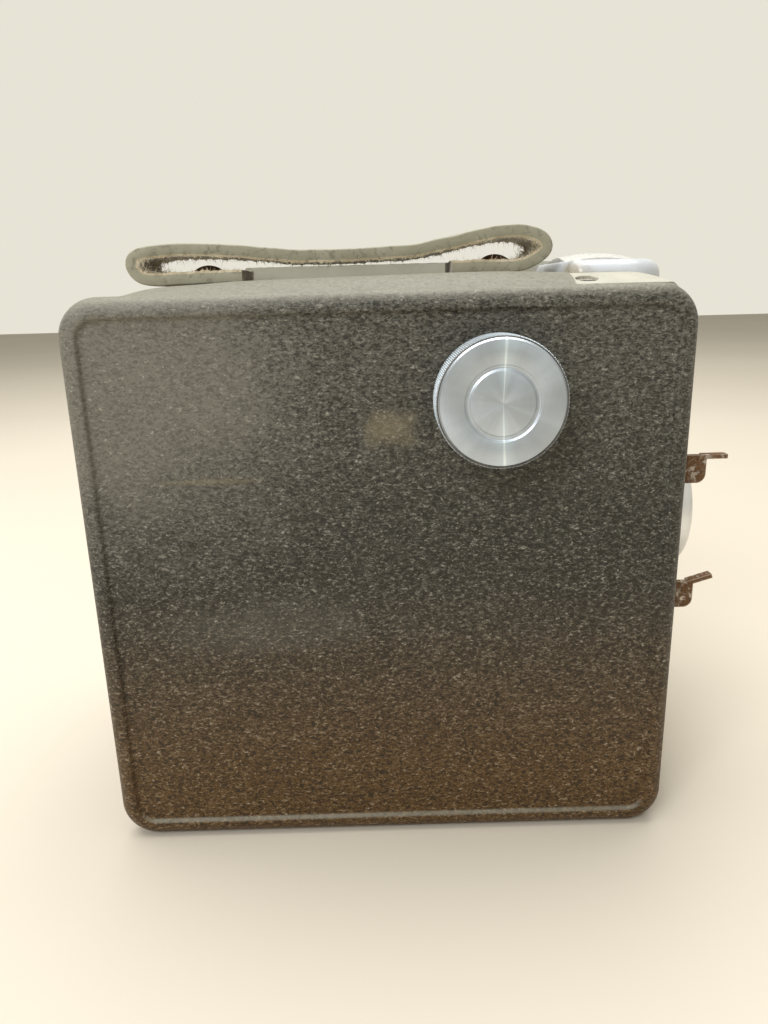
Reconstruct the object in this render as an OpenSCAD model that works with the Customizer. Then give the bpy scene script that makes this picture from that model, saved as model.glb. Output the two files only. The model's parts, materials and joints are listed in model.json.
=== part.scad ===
// Box roll-film camera: pressed steel casing, hinged back, film carrier, rotary shutter and carrying strap.
// +X is the direction the lens looks, +Z is up and -Y is the side with the winding knob.
// The origin is the mouth of the tripod bush, in the middle of the base.

/* [Casing] */
// Length of the casing from back to front
body_l = 115; // [110:1:125]
// Width of the casing across the film
body_w = 78; // [76:1:84]
// Height of the casing
body_h = 111.4; // [108:0.2:120]
// Corner radius of the casing seen from the side
corner_r = 7.5; // [6:0.5:9]
// Radius of the rolled rim of the side covers
rim_r = 3.2; // [2.8:0.1:3.6]
// Depth of the recessed field inside the rim
field_drop = 0.9; // [0.5:0.1:1.2]
// Thickness of the sheet steel
sheet = 0.8; // [0.6:0.05:0.9]

/* [Lens] */
// Height of the lens axis above the base
lens_z = 60.5; // [58:0.5:62]
// Outer radius of the lens barrel
barrel_r = 14.2; // [13:0.1:15]
// Distance the barrel stands out of the front plate
barrel_out = 11.85; // [8:0.05:14]
// Radius of the aperture in the shutter plate
aperture_r = 4; // [3:0.1:4.2]

/* [Winding knob] */
// Radius of the knob
knob_r = 11.64; // [10:0.02:13]
// Height of the knob
knob_h = 7.8; // [6:0.1:10]
// Distance of the knob's axis in front of the middle
knob_x = 21; // [19:0.5:23]
// Height of the knob's axis above the lens axis
spool_rise = 31.5; // [31:0.25:32]

/* [Film] */
// Length of a 120 film spool
spool_l = 65; // [65:0.1:65.2]
// Radius of a spool's flange
flange_r = 12.6; // [12:0.1:12.7]
// Width of the picture
picture_w = 56; // [54:1:57]
// Height of the picture
picture_h = 82; // [78:1:83]

/* [Strap] */
// Width of the carrying strap
strap_w = 17; // [12:1:20]
// Thickness of the strap's leather
strap_t = 2.5; // [1.6:0.1:2.8]

/* [Levers] */
// Swing of the close-up and filter levers
lever_swing = 28; // [26:1:30]
// Swing of the shutter release
release_swing = 20; // [15:1:20]

/* [Hidden] */
$fn = 96;

half_l = body_l / 2;
half_w = body_w / 2;
run_gap = 0.05;

// casing
flange_depth = 4.4;
wrap_inset = sheet + run_gap;
wrap_half_w = half_w - 3.5;
wrap_x = half_l - wrap_inset;
wrap_z = body_h - wrap_inset;
front_in_x = wrap_x - sheet;
plate_x = wrap_x + 0.8;
door_split_x = -half_l + 9.5;
door_half_w = half_w - flange_depth - 0.2;
door_out_x = -wrap_x;
door_in_x = -wrap_x + sheet;
window_z = lens_z - 1;
bolt_z = 99;

// hinge
hinge_x = -half_l + 4.2;
hinge_z = 4.2;
knuckle_r = 2.4;
hinge_pin_r = 1;
knuckles = [[-34, -20], [-7, 7], [20, 34]];
door_knuckles = [[-19.8, -7.2], [7.2, 19.8]];

// top of the casing
crown_half_w = half_w - flange_depth - 0.4;
crown_flat = 26.2;
crown_edge = 0.8;
pad_line = [
  [-47.7, wrap_z], [-45.2, 112.2], [-41, 112.85], [-33.5, 113.2], [-25, 113.6], [5, 114], [22, 114.15],
  [35.9, 113.6]
];
pad_x1 = 35.9;
pad_z1 = 114.15;
deck_x0 = 36;
deck_z = 113.4;
nose_r = 10.2;
nose_x = 47.2;
lip_z = 106.5;
frame_z0 = 108.5;
frame_top = 116;
window_seat = 114.5;
finder_x = 47;
finder_z = 97;

// winding and film path
take_up_z = lens_z + spool_rise;
supply_z = lens_z - spool_rise;
spool_end = spool_l / 2;
cheek_in = spool_end + 0.8;
cheek_out = cheek_in + 0.8;
cover_in_y = half_w - field_drop - sheet;
gate_x = -50.4;
roller_x = -48.5;
roller_r = 2.6;
roller_rise = picture_h / 2 + 3.5;
journal_r = 1;
core_hole_r = 2.7;
stud_r = 2.62;
shaft_r = 2.5;
sleeve_r = 4;
key_r = 4;
key_t = 1.4;

// shutter
shutter_x = 44;
pin_r = 1.2;
pin_bore_r = pin_r + run_gap;
disc_y = 14;
disc_r = 19;
release_y = 28;
release_z = 78;
close_up = [-19, lens_z + 15.3];
filter = [-19, lens_z - 11.1];
finger_y = -half_w + 8;
holder_r = 6;
glass_r = 5.3;

function reach(pivot) = norm([pivot[0], lens_z - pivot[1]]);
function aim(pivot) = atan2(lens_z - pivot[1], -pivot[0]);
function pad_top(x) = lookup(x, pad_line);

// Extrudes a side view, drawn as X and Z, from y0 to y1.
module along_y(y0, y1) {
  translate([0, y1, 0]) rotate([90, 0, 0]) linear_extrude(y1 - y0) children();
}

// Extrudes a front view, drawn as Y and Z, from x0 to x1.
module along_x(x0, x1) {
  translate([x0, 0, 0]) rotate([90, 0, 90]) linear_extrude(x1 - x0) children();
}

// A round bar along Y.
module rod_y(y0, y1, x, z, r) {
  translate([x, y0, z]) rotate([-90, 0, 0]) cylinder(h = y1 - y0, r = r);
}

// A round bar along X.
module rod_x(x0, x1, y, z, r) {
  translate([x0, y, z]) rotate([0, 90, 0]) cylinder(h = x1 - x0, r = r);
}

// Turns a profile, drawn as radius and X, about an axis along X.
module turned_x(y, z) {
  translate([0, y, z]) rotate([0, 90, 0]) rotate_extrude() children();
}

// Turns a profile, drawn as radius and Y, about an axis along Y.
module turned_y(x, z) {
  translate([x, 0, z]) rotate([-90, 0, 0]) rotate_extrude() children();
}

module block(low, high) {
  translate(low) cube(high - low);
}

// Side view of the casing, moved in by inset all round.
module side_outline(inset) {
  r = corner_r - inset;
  x = half_l - inset;
  z = body_h - inset;
  translate([-x, inset + r]) square([2 * x, z - inset - 2 * r]);
  translate([-x + r, inset]) square([2 * (x - r), z - inset]);
  for (cx = [-x + r, x - r], cz = [inset + r, z - r]) translate([cx, cz]) circle(r);
}

// Cross-section of a slab of half width a, with its edges rounded on the y0 side.
module slab_section(a, edge_r, y0, y1) {
  intersection() {
    translate([-a, y0]) square([2 * a, y1 - y0]);
    union() {
      translate([-a + edge_r, y0]) square([2 * (a - edge_r), y1 - y0]);
      translate([-a, y0 + edge_r]) square([2 * a, y1 - y0]);
      for (s = [-1, 1]) translate([s * (a - edge_r), y0 + edge_r]) circle(edge_r);
    }
  }
}

// A slab with the casing's side outline moved in by inset, and a rounded edge on the y0 side.
module rounded_slab(inset, edge_r, y0, y1) {
  r = corner_r - inset;
  a = half_l - inset;
  b = body_h / 2 - inset;
  translate([0, 0, inset + r]) linear_extrude(2 * (b - r)) slab_section(a, edge_r, y0, y1);
  translate([-a + r, 0, body_h / 2]) rotate([0, 90, 0])
    linear_extrude(2 * (a - r)) slab_section(b, edge_r, y0, y1);
  for (x = [-a + r, a - r], z = [inset + r, body_h - inset - r])
    turned_y(x, z) intersection() {
      slab_section(r, edge_r, y0, y1);
      translate([0, y0]) square([r, y1 - y0]);
    }
}

// A pressed side cover, with its rim on the -Y side.
module side_pan() {
  difference() {
    rounded_slab(0, rim_r, -half_w, -half_w + flange_depth);
    rounded_slab(sheet, 1.7, -cover_in_y, -half_w + flange_depth + 1);
    along_y(-half_w - 1, -half_w + field_drop) side_outline(flange_depth);
  }
}

module right_side_cover() {
  color([0.27, 0.26, 0.24]) difference() {
    side_pan();
    rod_y(-half_w, -cover_in_y + 1, knob_x, take_up_z, 6.4);
  }
}

module left_side_cover() {
  color([0.27, 0.26, 0.24]) difference() {
    mirror([0, 1, 0]) side_pan();
    block([48.1, cover_in_y - 1, release_z - 7.5], [49.5, half_w + 1, release_z + 2]);
  }
}

// Curved slot in the front for a lever's finger, about the lever's pivot.
module lever_slot(pivot, from, to) {
  translate(pivot) intersection() {
    difference() {
      circle(12.9);
      circle(10.5);
    }
    polygon([[0, 0], for (i = [0:2]) let (a = from + (to - from) * i / 2) 20 * [cos(a), sin(a)]]);
  }
}

// Every opening that the front wall and the front plate share.
module front_openings() {
  translate([0, lens_z]) circle(12.2);
  lever_slot(close_up, 180 - lever_swing - 18, 198);
  lever_slot(filter, 162, 180 + lever_swing + 18);
  translate([28.5, lens_z - 17.5]) square([2, 13]);
  translate([-6, finder_z - 5.5]) square([12, 11]);
}

module hinge_eye(span) {
  difference() {
    rod_y(span[0], span[1], hinge_x, hinge_z, knuckle_r);
    rod_y(span[0] - 1, span[1] + 1, hinge_x, hinge_z, hinge_pin_r + run_gap);
  }
}

module body_wrap() {
  color([0.3, 0.28, 0.26]) {
    difference() {
      along_y(-wrap_half_w, wrap_half_w) difference() {
        side_outline(wrap_inset);
        side_outline(wrap_inset + sheet);
      }
      block([-half_l - 1, -half_w, -1], [door_split_x, half_w, body_h + 1]);
      along_x(front_in_x - 1, wrap_x + 1) front_openings();
      block([finder_x - 7.5, -9, wrap_z - 3], [finder_x + 7.5, 9, wrap_z + 1]);
      translate([0, 0, -1]) cylinder(h = 5, r = 5.2);
    }
    for (span = knuckles) {
      hinge_eye(span);
      difference() {
        block([hinge_x, span[0], wrap_inset], [door_split_x + 2, span[1], 2.6]);
        rod_y(span[0] - 1, span[1] + 1, hinge_x, hinge_z, hinge_pin_r + 0.5);
        block([door_split_x, -half_w, wrap_inset + sheet], [door_split_x + 3, half_w, 3]);
      }
    }
  }
}

module front_plate() {
  plate_half_w = 33;
  plate_z0 = 9;
  plate_z1 = 106;
  r = 5;
  color([0.62, 0.6, 0.55]) along_x(wrap_x, plate_x) difference() {
    union() {
      translate([-plate_half_w, plate_z0 + r]) square([2 * plate_half_w, plate_z1 - plate_z0 - 2 * r]);
      translate([-plate_half_w + r, plate_z0]) square([2 * (plate_half_w - r), plate_z1 - plate_z0]);
      for (y = [-plate_half_w + r, plate_half_w - r], z = [plate_z0 + r, plate_z1 - r])
        translate([y, z]) circle(r);
    }
    front_openings();
  }
}

// Cross-section of the raised top: flat in the middle, with sides that slope down to the covers.
module crown(z0, z1) {
  edge_z = wrap_z + crown_edge;
  along_x(-half_l, half_l + 2) polygon([
    [-crown_half_w, z0], [crown_half_w, z0], [crown_half_w, edge_z], [crown_flat, z1], [-crown_flat, z1],
    [-crown_half_w, edge_z]
  ]);
}

// Raised pressing under the strap, cambered from back to front.
module strap_plate() {
  color([0.3, 0.28, 0.26]) intersection() {
    crown(wrap_z, pad_z1);
    along_y(-half_w, half_w) polygon(concat(pad_line, [[pad_x1, wrap_z]]));
  }
}

// Finder opening through the deck and the frame.
module finder_well(z0, z1) {
  block([finder_x - 6.5, -8, z0], [finder_x + 6.5, 8, z1]);
}

// Screw places on the deck's two slopes, square to the slope.
module deck_screw_places() {
  x = 38.6;
  y = 30.4;
  rise = (deck_z - wrap_z - crown_edge) / (crown_half_w - crown_flat);
  for (s = [-1, 1])
    translate([x, s * y, deck_z - rise * (y - crown_flat)]) rotate([-s * atan(rise), 0, 0]) children();
}

// Side view of the deck, with a round nose that comes down over the casing's front corner.
module deck_outline() {
  nose_z = deck_z - nose_r;
  translate([deck_x0, lip_z]) square([nose_x - deck_x0, deck_z - lip_z]);
  intersection() {
    translate([nose_x, nose_z]) circle(nose_r);
    translate([nose_x - 1, lip_z]) square([nose_r + 1, deck_z - lip_z]);
  }
}

module top_deck() {
  color([0.9, 0.87, 0.76]) difference() {
    intersection() {
      crown(lip_z, deck_z);
      along_y(-half_w, half_w) difference() {
        deck_outline();
        side_outline(wrap_inset);
        square([wrap_x - corner_r, wrap_z]);
      }
    }
    finder_well(wrap_z - 1, deck_z + 1);
    deck_screw_places() translate([0, 0, -1.2]) cylinder(h = 3, r = 2.1);
  }
}

module deck_screws() {
  color([0.35, 0.3, 0.25]) deck_screw_places() translate([0, 0, -1.2]) difference() {
    cylinder(h = 0.8, r = 2);
    translate([-3, -0.25, 0.4]) cube([6, 0.5, 1]);
  }
}

// Everything under the deck's surface.
module crown_over_deck() {
  intersection() {
    crown(wrap_z, deck_z);
    block([pad_x1 - 2, -half_w, wrap_z], [half_l, half_w, deck_z]);
  }
}

// Cream ledge that runs back beside the strap.
module top_ledge() {
  base = wrap_z + 1;
  rear = -33;
  rear_z = 117.4;
  front = 48.2;
  front_z = 117;
  color([0.9, 0.87, 0.76]) difference() {
    along_y(20.5, 30.5) polygon([
      [rear, base], [front, base], [front, deck_z + 1.2], [front - 2.4, front_z], [20, rear_z],
      [rear + 1, rear_z], [rear, rear_z - 1]
    ]);
    strap_plate();
    crown_over_deck();
  }
}

// Rectangle whose corners have one radius at its low x end and another at its high x end.
module soft_rectangle(low, high, low_r, high_r) {
  for (y = [low[1] + low_r, high[1] - low_r]) translate([low[0] + low_r, y]) circle(low_r);
  for (y = [low[1] + high_r, high[1] - high_r]) translate([high[0] - high_r, y]) circle(high_r);
  translate([low[0] + low_r, low[1]]) square([high[0] - high_r - low[0] - low_r, high[1] - low[1]]);
  translate([low[0], low[1] + low_r]) square([low_r, high[1] - low[1] - 2 * low_r]);
  translate([high[0] - high_r, low[1] + high_r]) square([high_r, high[1] - low[1] - 2 * high_r]);
}

module finder_frame() {
  half = 19.5;
  x0 = 38.5;
  x1 = 58.2;
  below = frame_z0 - 10;
  color([0.93, 0.93, 0.92]) difference() {
    intersection() {
      translate([0, 0, frame_z0]) linear_extrude(frame_top - frame_z0)
        soft_rectangle([x0, -half], [x1, half], 3, 8);
      along_y(-half, half) soft_rectangle([x0, below], [x1, frame_top], 1.6, 3.6);
      along_x(x0, x1) soft_rectangle([-half, below], [half, frame_top], 3, 3);
    }
    along_y(-half - 1, half + 1) {
      deck_outline();
      translate([x0 - 1, frame_z0 - 1]) square([wrap_x - x0 + 1, wrap_z - corner_r - frame_z0 + 3]);
      translate([x0 - 1, frame_z0 - 1]) square([nose_x - x0 + 1, deck_z - frame_z0 + 1]);
    }
    finder_well(deck_z - 1, frame_top + 1);
    block([finder_x - 7.5, -9, window_seat], [finder_x + 7.5, 9, frame_top + 1]);
  }
}

// Domed lens that the finder is viewed through.
module finder_top_lens() {
  dome_r = 34;
  dome_top = 117.8;
  color([0.8, 0.86, 0.88, 0.5]) intersection() {
    block([finder_x - 7.4, -8.9, window_seat], [finder_x + 7.4, 8.9, dome_top + 1]);
    translate([finder_x, 0, dome_top - dome_r]) sphere(dome_r);
  }
}

module finder_box() {
  wall = 0.6;
  x0 = finder_x - 8.5;
  z0 = finder_z - 8.5;
  half = 10;
  color([0.1, 0.1, 0.1]) difference() {
    intersection() {
      block([x0, -half, z0], [front_in_x, half, wrap_z - sheet - 0.1]);
      along_y(-half, half) side_outline(wrap_inset + sheet + run_gap);
    }
    block([x0 + wall, -half + wall, z0 + wall], [front_in_x + 1, half - wall, wrap_z + 1]);
  }
}

module finder_mirror() {
  color([0.85, 0.88, 0.9]) translate([finder_x, 0, finder_z]) rotate([0, 45, 0])
    block([-9.5, -9, -0.9], [9.5, 9, 0]);
}

module finder_front_lens() {
  color([0.8, 0.86, 0.88, 0.5]) intersection() {
    block([front_in_x, -5.9, finder_z - 5.4], [plate_x + 2, 5.9, finder_z + 5.4]);
    translate([plate_x + 1.2 - 24, 0, finder_z]) sphere(24);
  }
}

module tripod_bush() {
  color([0.75, 0.72, 0.65]) difference() {
    union() {
      cylinder(h = wrap_inset, r = 9);
      cylinder(h = 8.5, r = 5.1);
    }
    translate([0, 0, -1]) cylinder(h = 8, r = 3.2);
  }
}

module lens_barrel() {
  nose_r = 1.4;
  front = plate_x + barrel_out;
  color([0.86, 0.87, 0.87]) turned_x(0, lens_z) polygon([
    [9.2, front_in_x - 0.8], [12.1, front_in_x - 0.8], [12.1, plate_x], [barrel_r, plate_x],
    for (a = [0:15:90]) [barrel_r - nose_r + nose_r * cos(a), front - nose_r + nose_r * sin(a)],
    [8.6, front - 6.4], [8.6, front - 7], [8, front - 7], [8, 59.9], [9.2, 59.9]
  ]);
}

module main_lens() {
  front_r = 32;
  back_r = 60;
  color([0.75, 0.83, 0.86, 0.5]) turned_x(0, lens_z) difference() {
    intersection() {
      translate([0, 60.9 - front_r]) circle(front_r);
      translate([0, 57]) square([9.1, 5]);
    }
    translate([0, 58.9 - back_r]) circle(back_r);
  }
}

module lens_retainer() {
  color([0.2, 0.2, 0.2]) difference() {
    rod_x(56.2, 58.2, 0, lens_z, 9.15);
    rod_x(55, 60, 0, lens_z, 7.6);
  }
}

module shutter_plate() {
  color([0.22, 0.22, 0.22]) difference() {
    union() {
      block([shutter_x, -33, lens_z - 28.5], [shutter_x + 1, 33, lens_z + 27.5]);
      for (y = [-29.5, 29.5], z = [lens_z - 25, lens_z + 25]) rod_x(shutter_x + 0.5, front_in_x, y, z, 1.8);
    }
    rod_x(shutter_x - 1, shutter_x + 2, 0, lens_z, aperture_r);
  }
}

module pivot_pins() {
  foot = shutter_x + 1;
  color([0.7, 0.7, 0.68]) {
    rod_x(foot, 50, disc_y, lens_z, pin_r);
    rod_x(foot, 51.5, release_y, release_z, pin_r);
    rod_x(foot, 54.8, close_up[0], close_up[1], pin_r);
    rod_x(foot, 54.8, filter[0], filter[1], pin_r);
  }
}

// Wound springs round the pivots, behind each lever.
module lever_springs() {
  wire_r = 0.25;
  coil_r = 2;
  pitch = 2 * wire_r;
  color([0.6, 0.6, 0.58])
    for (place = [[disc_y, lens_z], [release_y, release_z], close_up, filter], turn = [0:2])
      turned_x(place[0], place[1])
        translate([coil_r, shutter_x + 1.3 + pitch * turn]) circle(wire_r, $fn = 24);
}

// Turning disc whose hole sweeps past the aperture.
module shutter_disc() {
  rest = 180 + 2.5 * release_swing;
  color([0.15, 0.15, 0.16]) along_x(47, 47.4) translate([disc_y, lens_z]) difference() {
    circle(disc_r);
    circle(pin_bore_r);
    rotate(rest) translate([disc_y, 0]) circle(aperture_r + 0.6);
  }
}

module release_lever() {
  color([0.75, 0.75, 0.73]) {
    along_x(48.4, 49.2) translate([release_y, release_z]) difference() {
      union() {
        circle(3);
        translate([0, -1.5]) square([half_w + 3 - release_y, 3]);
        rotate(211) translate([0, -1.3]) square([11, 2.6]);
      }
      circle(pin_bore_r);
    }
    along_x(46.6, 51) translate([half_w + 0.8, release_z]) {
      translate([0, -1.9]) square([4.2, 3.8]);
      translate([4.2, 0]) circle(1.9);
    }
  }
}

module bulb_slide() {
  z = lens_z - 16;
  color([0.75, 0.75, 0.73]) {
    block([50, 22, z - 2], [50.8, 32, z + 3]);
    block([50, 29, z], [60.2, 30, z + 3]);
    block([59.4, 26.5, z - 0.5], [60.2, 32, z + 3.5]);
  }
}

// Bent steel finger that stands out of the front: an ear, an upright and a tab that tilts by lift.
module lever_finger(pivot, back_x, upright_x, lift) {
  t = 0.9;
  tall = 5.7;
  bend_r = 1.8;
  tab_w = 2;
  z0 = pivot[1] - tall / 2;
  block([back_x, finger_y, z0], [upright_x - bend_r, finger_y + 1, z0 + tall]);
  along_y(finger_y, finger_y + 1) {
    translate([upright_x - bend_r, z0 + bend_r]) square([bend_r, tall - bend_r]);
    intersection() {
      translate([upright_x - bend_r, z0 + bend_r]) circle(bend_r);
      translate([upright_x - bend_r, z0]) square(bend_r);
    }
  }
  along_y(finger_y, finger_y + tab_w) {
    translate([upright_x - t, z0 + bend_r]) square([t, tall - bend_r]);
    translate([upright_x - t, z0 + tall - t]) rotate(lift) square([5, t]);
    difference() {
      intersection() {
        translate([upright_x - bend_r, z0 + bend_r]) circle(bend_r);
        translate([upright_x - bend_r, z0]) square(bend_r);
      }
      translate([upright_x - bend_r, z0 + bend_r]) circle(bend_r - t);
    }
  }
}

// Swinging arm with a ring for a glass, turned to rest clear of the light path.
module lever_arm(pivot, rest, x0) {
  along_x(x0, x0 + 0.8) difference() {
    union() {
      translate([finger_y, pivot[1] - 2.85]) square([pivot[0] - finger_y, 5.7]);
      translate(pivot) {
        circle(3.2);
        rotate(rest) {
          translate([0, -2]) square([reach(pivot) - glass_r, 4]);
          translate([reach(pivot), 0]) circle(holder_r);
        }
      }
    }
    translate(pivot) circle(pin_bore_r);
    translate(pivot) rotate(rest) translate([reach(pivot), 0]) circle(glass_r);
  }
}

module lever_glass(pivot, rest, x0) {
  along_x(x0 + 0.1, x0 + 0.7) translate(pivot) rotate(rest)
    translate([reach(pivot), 0]) circle(glass_r - 0.02);
}

module close_up_lever() {
  color([0.42, 0.28, 0.18]) {
    lever_arm(close_up, aim(close_up) + lever_swing, 53.2);
    lever_finger(close_up, 53.2, 63.7, 0);
  }
}

module close_up_lens() {
  color([0.8, 0.88, 0.9, 0.5]) lever_glass(close_up, aim(close_up) + lever_swing, 53.2);
}

module filter_lever() {
  color([0.42, 0.28, 0.18]) {
    lever_arm(filter, aim(filter) - lever_swing, 51.2);
    lever_finger(filter, 51.2, 63.2, 17);
  }
}

module yellow_filter() {
  color([0.95, 0.8, 0.2, 0.5]) lever_glass(filter, aim(filter) - lever_swing, 51.2);
}

// Four-sided tunnel block from the film gate to the shutter, made smaller by inset.
module cone_block(inset, x0, x1) {
  hull() {
    block([x0, -picture_w / 2 - 0.8 + inset, lens_z - picture_h / 2 - 0.8 + inset],
      [x0 + 0.1, picture_w / 2 + 0.8 - inset, lens_z + picture_h / 2 + 0.8 - inset]);
    block([x1 - 0.1, -8 + inset, lens_z - 9 + inset], [x1, 8 - inset, lens_z + 9 - inset]);
  }
}

module light_cone() {
  color([0.12, 0.12, 0.12]) difference() {
    cone_block(0, gate_x + 1, shutter_x);
    cone_block(0.8, gate_x + 0.9, shutter_x + 0.1);
  }
}

module film_gate() {
  rail = 1;
  low = lens_z - picture_h / 2;
  high = lens_z + picture_h / 2;
  color([0.2, 0.2, 0.2]) difference() {
    union() {
      block([gate_x, -cheek_in, low - 0.8], [gate_x + 1, cheek_in, high + 0.8]);
      for (s = [-1, 1])
        translate([gate_x - 0.5, s * (picture_w / 2 + 2) - rail / 2, low]) cube([1, rail, picture_h]);
    }
    block([gate_x - 2, -picture_w / 2, low], [gate_x + 2, picture_w / 2, high]);
  }
}

// Side wall of the film carrier, on the -Y side.
module cheek(shaft_hole) {
  along_y(-cheek_out, -cheek_in) difference() {
    translate([gate_x, 9]) square([88.4, 99.8]);
    for (s = [-1, 1]) translate([roller_x, lens_z + s * roller_rise]) circle(journal_r + run_gap);
    if (shaft_hole) translate([knob_x, take_up_z]) circle(key_r + 0.6);
  }
}

module right_cheek() {
  color([0.2, 0.2, 0.2]) cheek(true);
}

module left_cheek() {
  color([0.2, 0.2, 0.2]) mirror([0, 1, 0]) cheek(false);
}

module spool_studs() {
  color([0.7, 0.7, 0.68]) {
    rod_y(spool_end - 3, cheek_in, knob_x, take_up_z, stud_r);
    rod_y(spool_end - 3, cheek_in, knob_x, supply_z, stud_r);
    rod_y(-cheek_in, -spool_end + 3, knob_x, supply_z, stud_r);
  }
}

module spool_drag_spring() {
  color([0.75, 0.68, 0.45]) difference() {
    along_y(cheek_in - 0.35, cheek_in) translate([knob_x - 15, supply_z - 4]) square([30, 8]);
    rod_y(cheek_in - 1, cheek_in + 1, knob_x, supply_z, stud_r + 0.4);
  }
}

module roller(z) {
  color([0.75, 0.75, 0.74]) {
    rod_y(-cheek_in + 0.3, cheek_in - 0.3, roller_x, z, roller_r);
    rod_y(-cheek_out + 0.1, cheek_out - 0.1, roller_x, z, journal_r);
  }
}

module upper_roller() {
  roller(lens_z + roller_rise);
}

module lower_roller() {
  roller(lens_z - roller_rise);
}

// A 120 film spool, with a stud hole and a key slot in each end.
module spool(z) {
  core_r = 5.8;
  flange_t = 0.8;
  color([0.12, 0.12, 0.12]) difference() {
    union() {
      rod_y(-spool_end, spool_end, knob_x, z, core_r);
      for (y = [-spool_end, spool_end - flange_t]) rod_y(y, y + flange_t, knob_x, z, flange_r);
    }
    for (s = [-1, 1]) {
      rod_y(s * spool_end - 3.5, s * spool_end + 3.5, knob_x, z, core_hole_r);
      translate([knob_x, s * spool_end, z]) cube([2 * key_r + 0.6, 6, key_t + 0.3], center = true);
    }
    translate([knob_x, 0, z]) cube([1.6, 48, 2 * core_r + 2], center = true);
  }
}

module take_up_spool() {
  spool(take_up_z);
}

module supply_spool() {
  spool(supply_z);
}

module winder_bush() {
  color([0.75, 0.68, 0.45]) difference() {
    union() {
      rod_y(-half_w + 0.3, -cover_in_y + 0.1, knob_x, take_up_z, 6.35);
      rod_y(-cover_in_y, -cover_in_y + 0.9, knob_x, take_up_z, 8);
    }
    rod_y(-half_w, -half_w + 4, knob_x, take_up_z, sleeve_r + run_gap);
  }
}

// Sleeve that turns in the bush and lets the shaft slide through it.
module drive_sleeve() {
  color([0.8, 0.7, 0.4]) difference() {
    rod_y(-half_w + 0.3, -cover_in_y + 0.9, knob_x, take_up_z, sleeve_r);
    rod_y(-half_w, -half_w + 4, knob_x, take_up_z, shaft_r + run_gap);
  }
}

module winding_shaft() {
  color([0.75, 0.75, 0.74]) {
    rod_y(-half_w - knob_h + 2, -spool_end + 2.4, knob_x, take_up_z, shaft_r);
    translate([knob_x - key_r, -spool_end - 1, take_up_z - key_t / 2]) cube([2 * key_r, 3.4, key_t]);
  }
}

module winding_knob() {
  back = -half_w + 0.1;
  face = -half_w - knob_h + 0.1;
  chamfer = 0.55;
  ring_r = 0.53 * knob_r;
  ring_w = 1;
  color([0.85, 0.86, 0.87]) turned_y(knob_x, take_up_z) difference() {
    polygon([
      [0, face], [knob_r - chamfer, face], [knob_r, face + chamfer], [knob_r, back - chamfer],
      [knob_r - chamfer, back], [0, back]
    ]);
    translate([0, back - knob_h + 1.85]) square([shaft_r + 0.02, knob_h]);
    translate([ring_r - ring_w / 2, face - 1]) square([ring_w, 1.35]);
  }
}

module hinge_pin() {
  color([0.7, 0.7, 0.68]) rod_y(-34.2, 34.2, hinge_x, hinge_z, hinge_pin_r);
}

module back_door() {
  color([0.3, 0.28, 0.26]) {
    difference() {
      along_y(-door_half_w, door_half_w) difference() {
        side_outline(wrap_inset);
        side_outline(wrap_inset + sheet);
      }
      block([door_split_x - 0.1, -half_w, -1], [half_l + 1, half_w, body_h + 1]);
      block([-half_l - 1, -half_w, -1], [half_l + 1, half_w, hinge_z]);
      rod_y(-half_w, half_w, hinge_x, hinge_z, knuckle_r + 0.2);
      rod_x(door_out_x - 1, door_in_x + 1, 0, window_z, 4.5);
      block([door_out_x - 1, -26, bolt_z - 1.6], [door_in_x + 1, -15, bolt_z + 1.6]);
    }
    for (s = [-1, 1]) difference() {
      translate([door_in_x, s * 32.6 - 0.4, 8]) cube([4.4, 0.8, 96]);
      block([door_in_x - 0.1, -half_w, bolt_z - 3.2], [door_in_x + 1.3, 0, bolt_z + 3.2]);
    }
    for (span = door_knuckles) {
      hinge_eye(span);
      difference() {
        block([door_out_x, span[0], hinge_z], [hinge_x, span[1], hinge_z + knuckle_r]);
        rod_y(span[0] - 1, span[1] + 1, hinge_x, hinge_z, hinge_pin_r + 0.5);
      }
    }
  }
}

module red_window() {
  color([0.7, 0.08, 0.06, 0.7]) rod_x(door_in_x, door_in_x + 0.8, 0, window_z, 6.5);
}

// Rails that hold the sliding cover of the red window.
module window_guide() {
  color([0.35, 0.33, 0.3]) difference() {
    block([door_out_x - 1.6, -9.2, window_z - 8.5], [door_out_x, 9.2, window_z + 23.5]);
    block([door_out_x - 1.1, -8.1, window_z - 7.4], [door_out_x + 1, 8.1, window_z + 22.4]);
    block([door_out_x - 2, -6.5, window_z - 6.5], [door_out_x + 1, 6.5, window_z + 21.5]);
  }
}

module window_cover() {
  color([0.75, 0.75, 0.73]) {
    block([door_out_x - 1, -8, window_z - 7.3], [door_out_x - 0.1, 8, window_z + 9.5]);
    for (z = [-4:2.4:3.2])
      block([door_out_x - 2.4, -5, window_z + z], [door_out_x - 0.9, 5, window_z + z + 1.2]);
  }
}

// Sliding bolt that reaches behind the rim of the right side cover.
module door_latch() {
  color([0.8, 0.8, 0.78]) {
    block([door_in_x + 0.05, -half_w + 2.4, bolt_z - 3], [door_in_x + 1.05, -17, bolt_z + 3]);
    block([door_out_x - 0.6, -25.5, bolt_z - 1.5], [door_in_x + 0.5, -20.5, bolt_z + 1.5]);
    block([door_out_x - 0.9, -28, bolt_z - 4], [door_out_x - 0.1, -18, bolt_z + 4]);
    for (y = [-27:2.2:-20.4])
      block([door_out_x - 2, y, bolt_z - 4], [door_out_x - 0.8, y + 1.2, bolt_z + 4]);
  }
}

// Bridges on the inside of the door that the bolt slides through.
module latch_bracket() {
  color([0.6, 0.6, 0.58]) for (y = [-31.5, -20]) difference() {
    block([door_in_x, y, bolt_z - 4.2], [door_in_x + 1.9, y + 2.4, bolt_z + 4.2]);
    block([door_in_x - 1, y - 1, bolt_z - 3.05], [door_in_x + 1.1, y + 4, bolt_z + 3.05]);
  }
}

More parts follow.
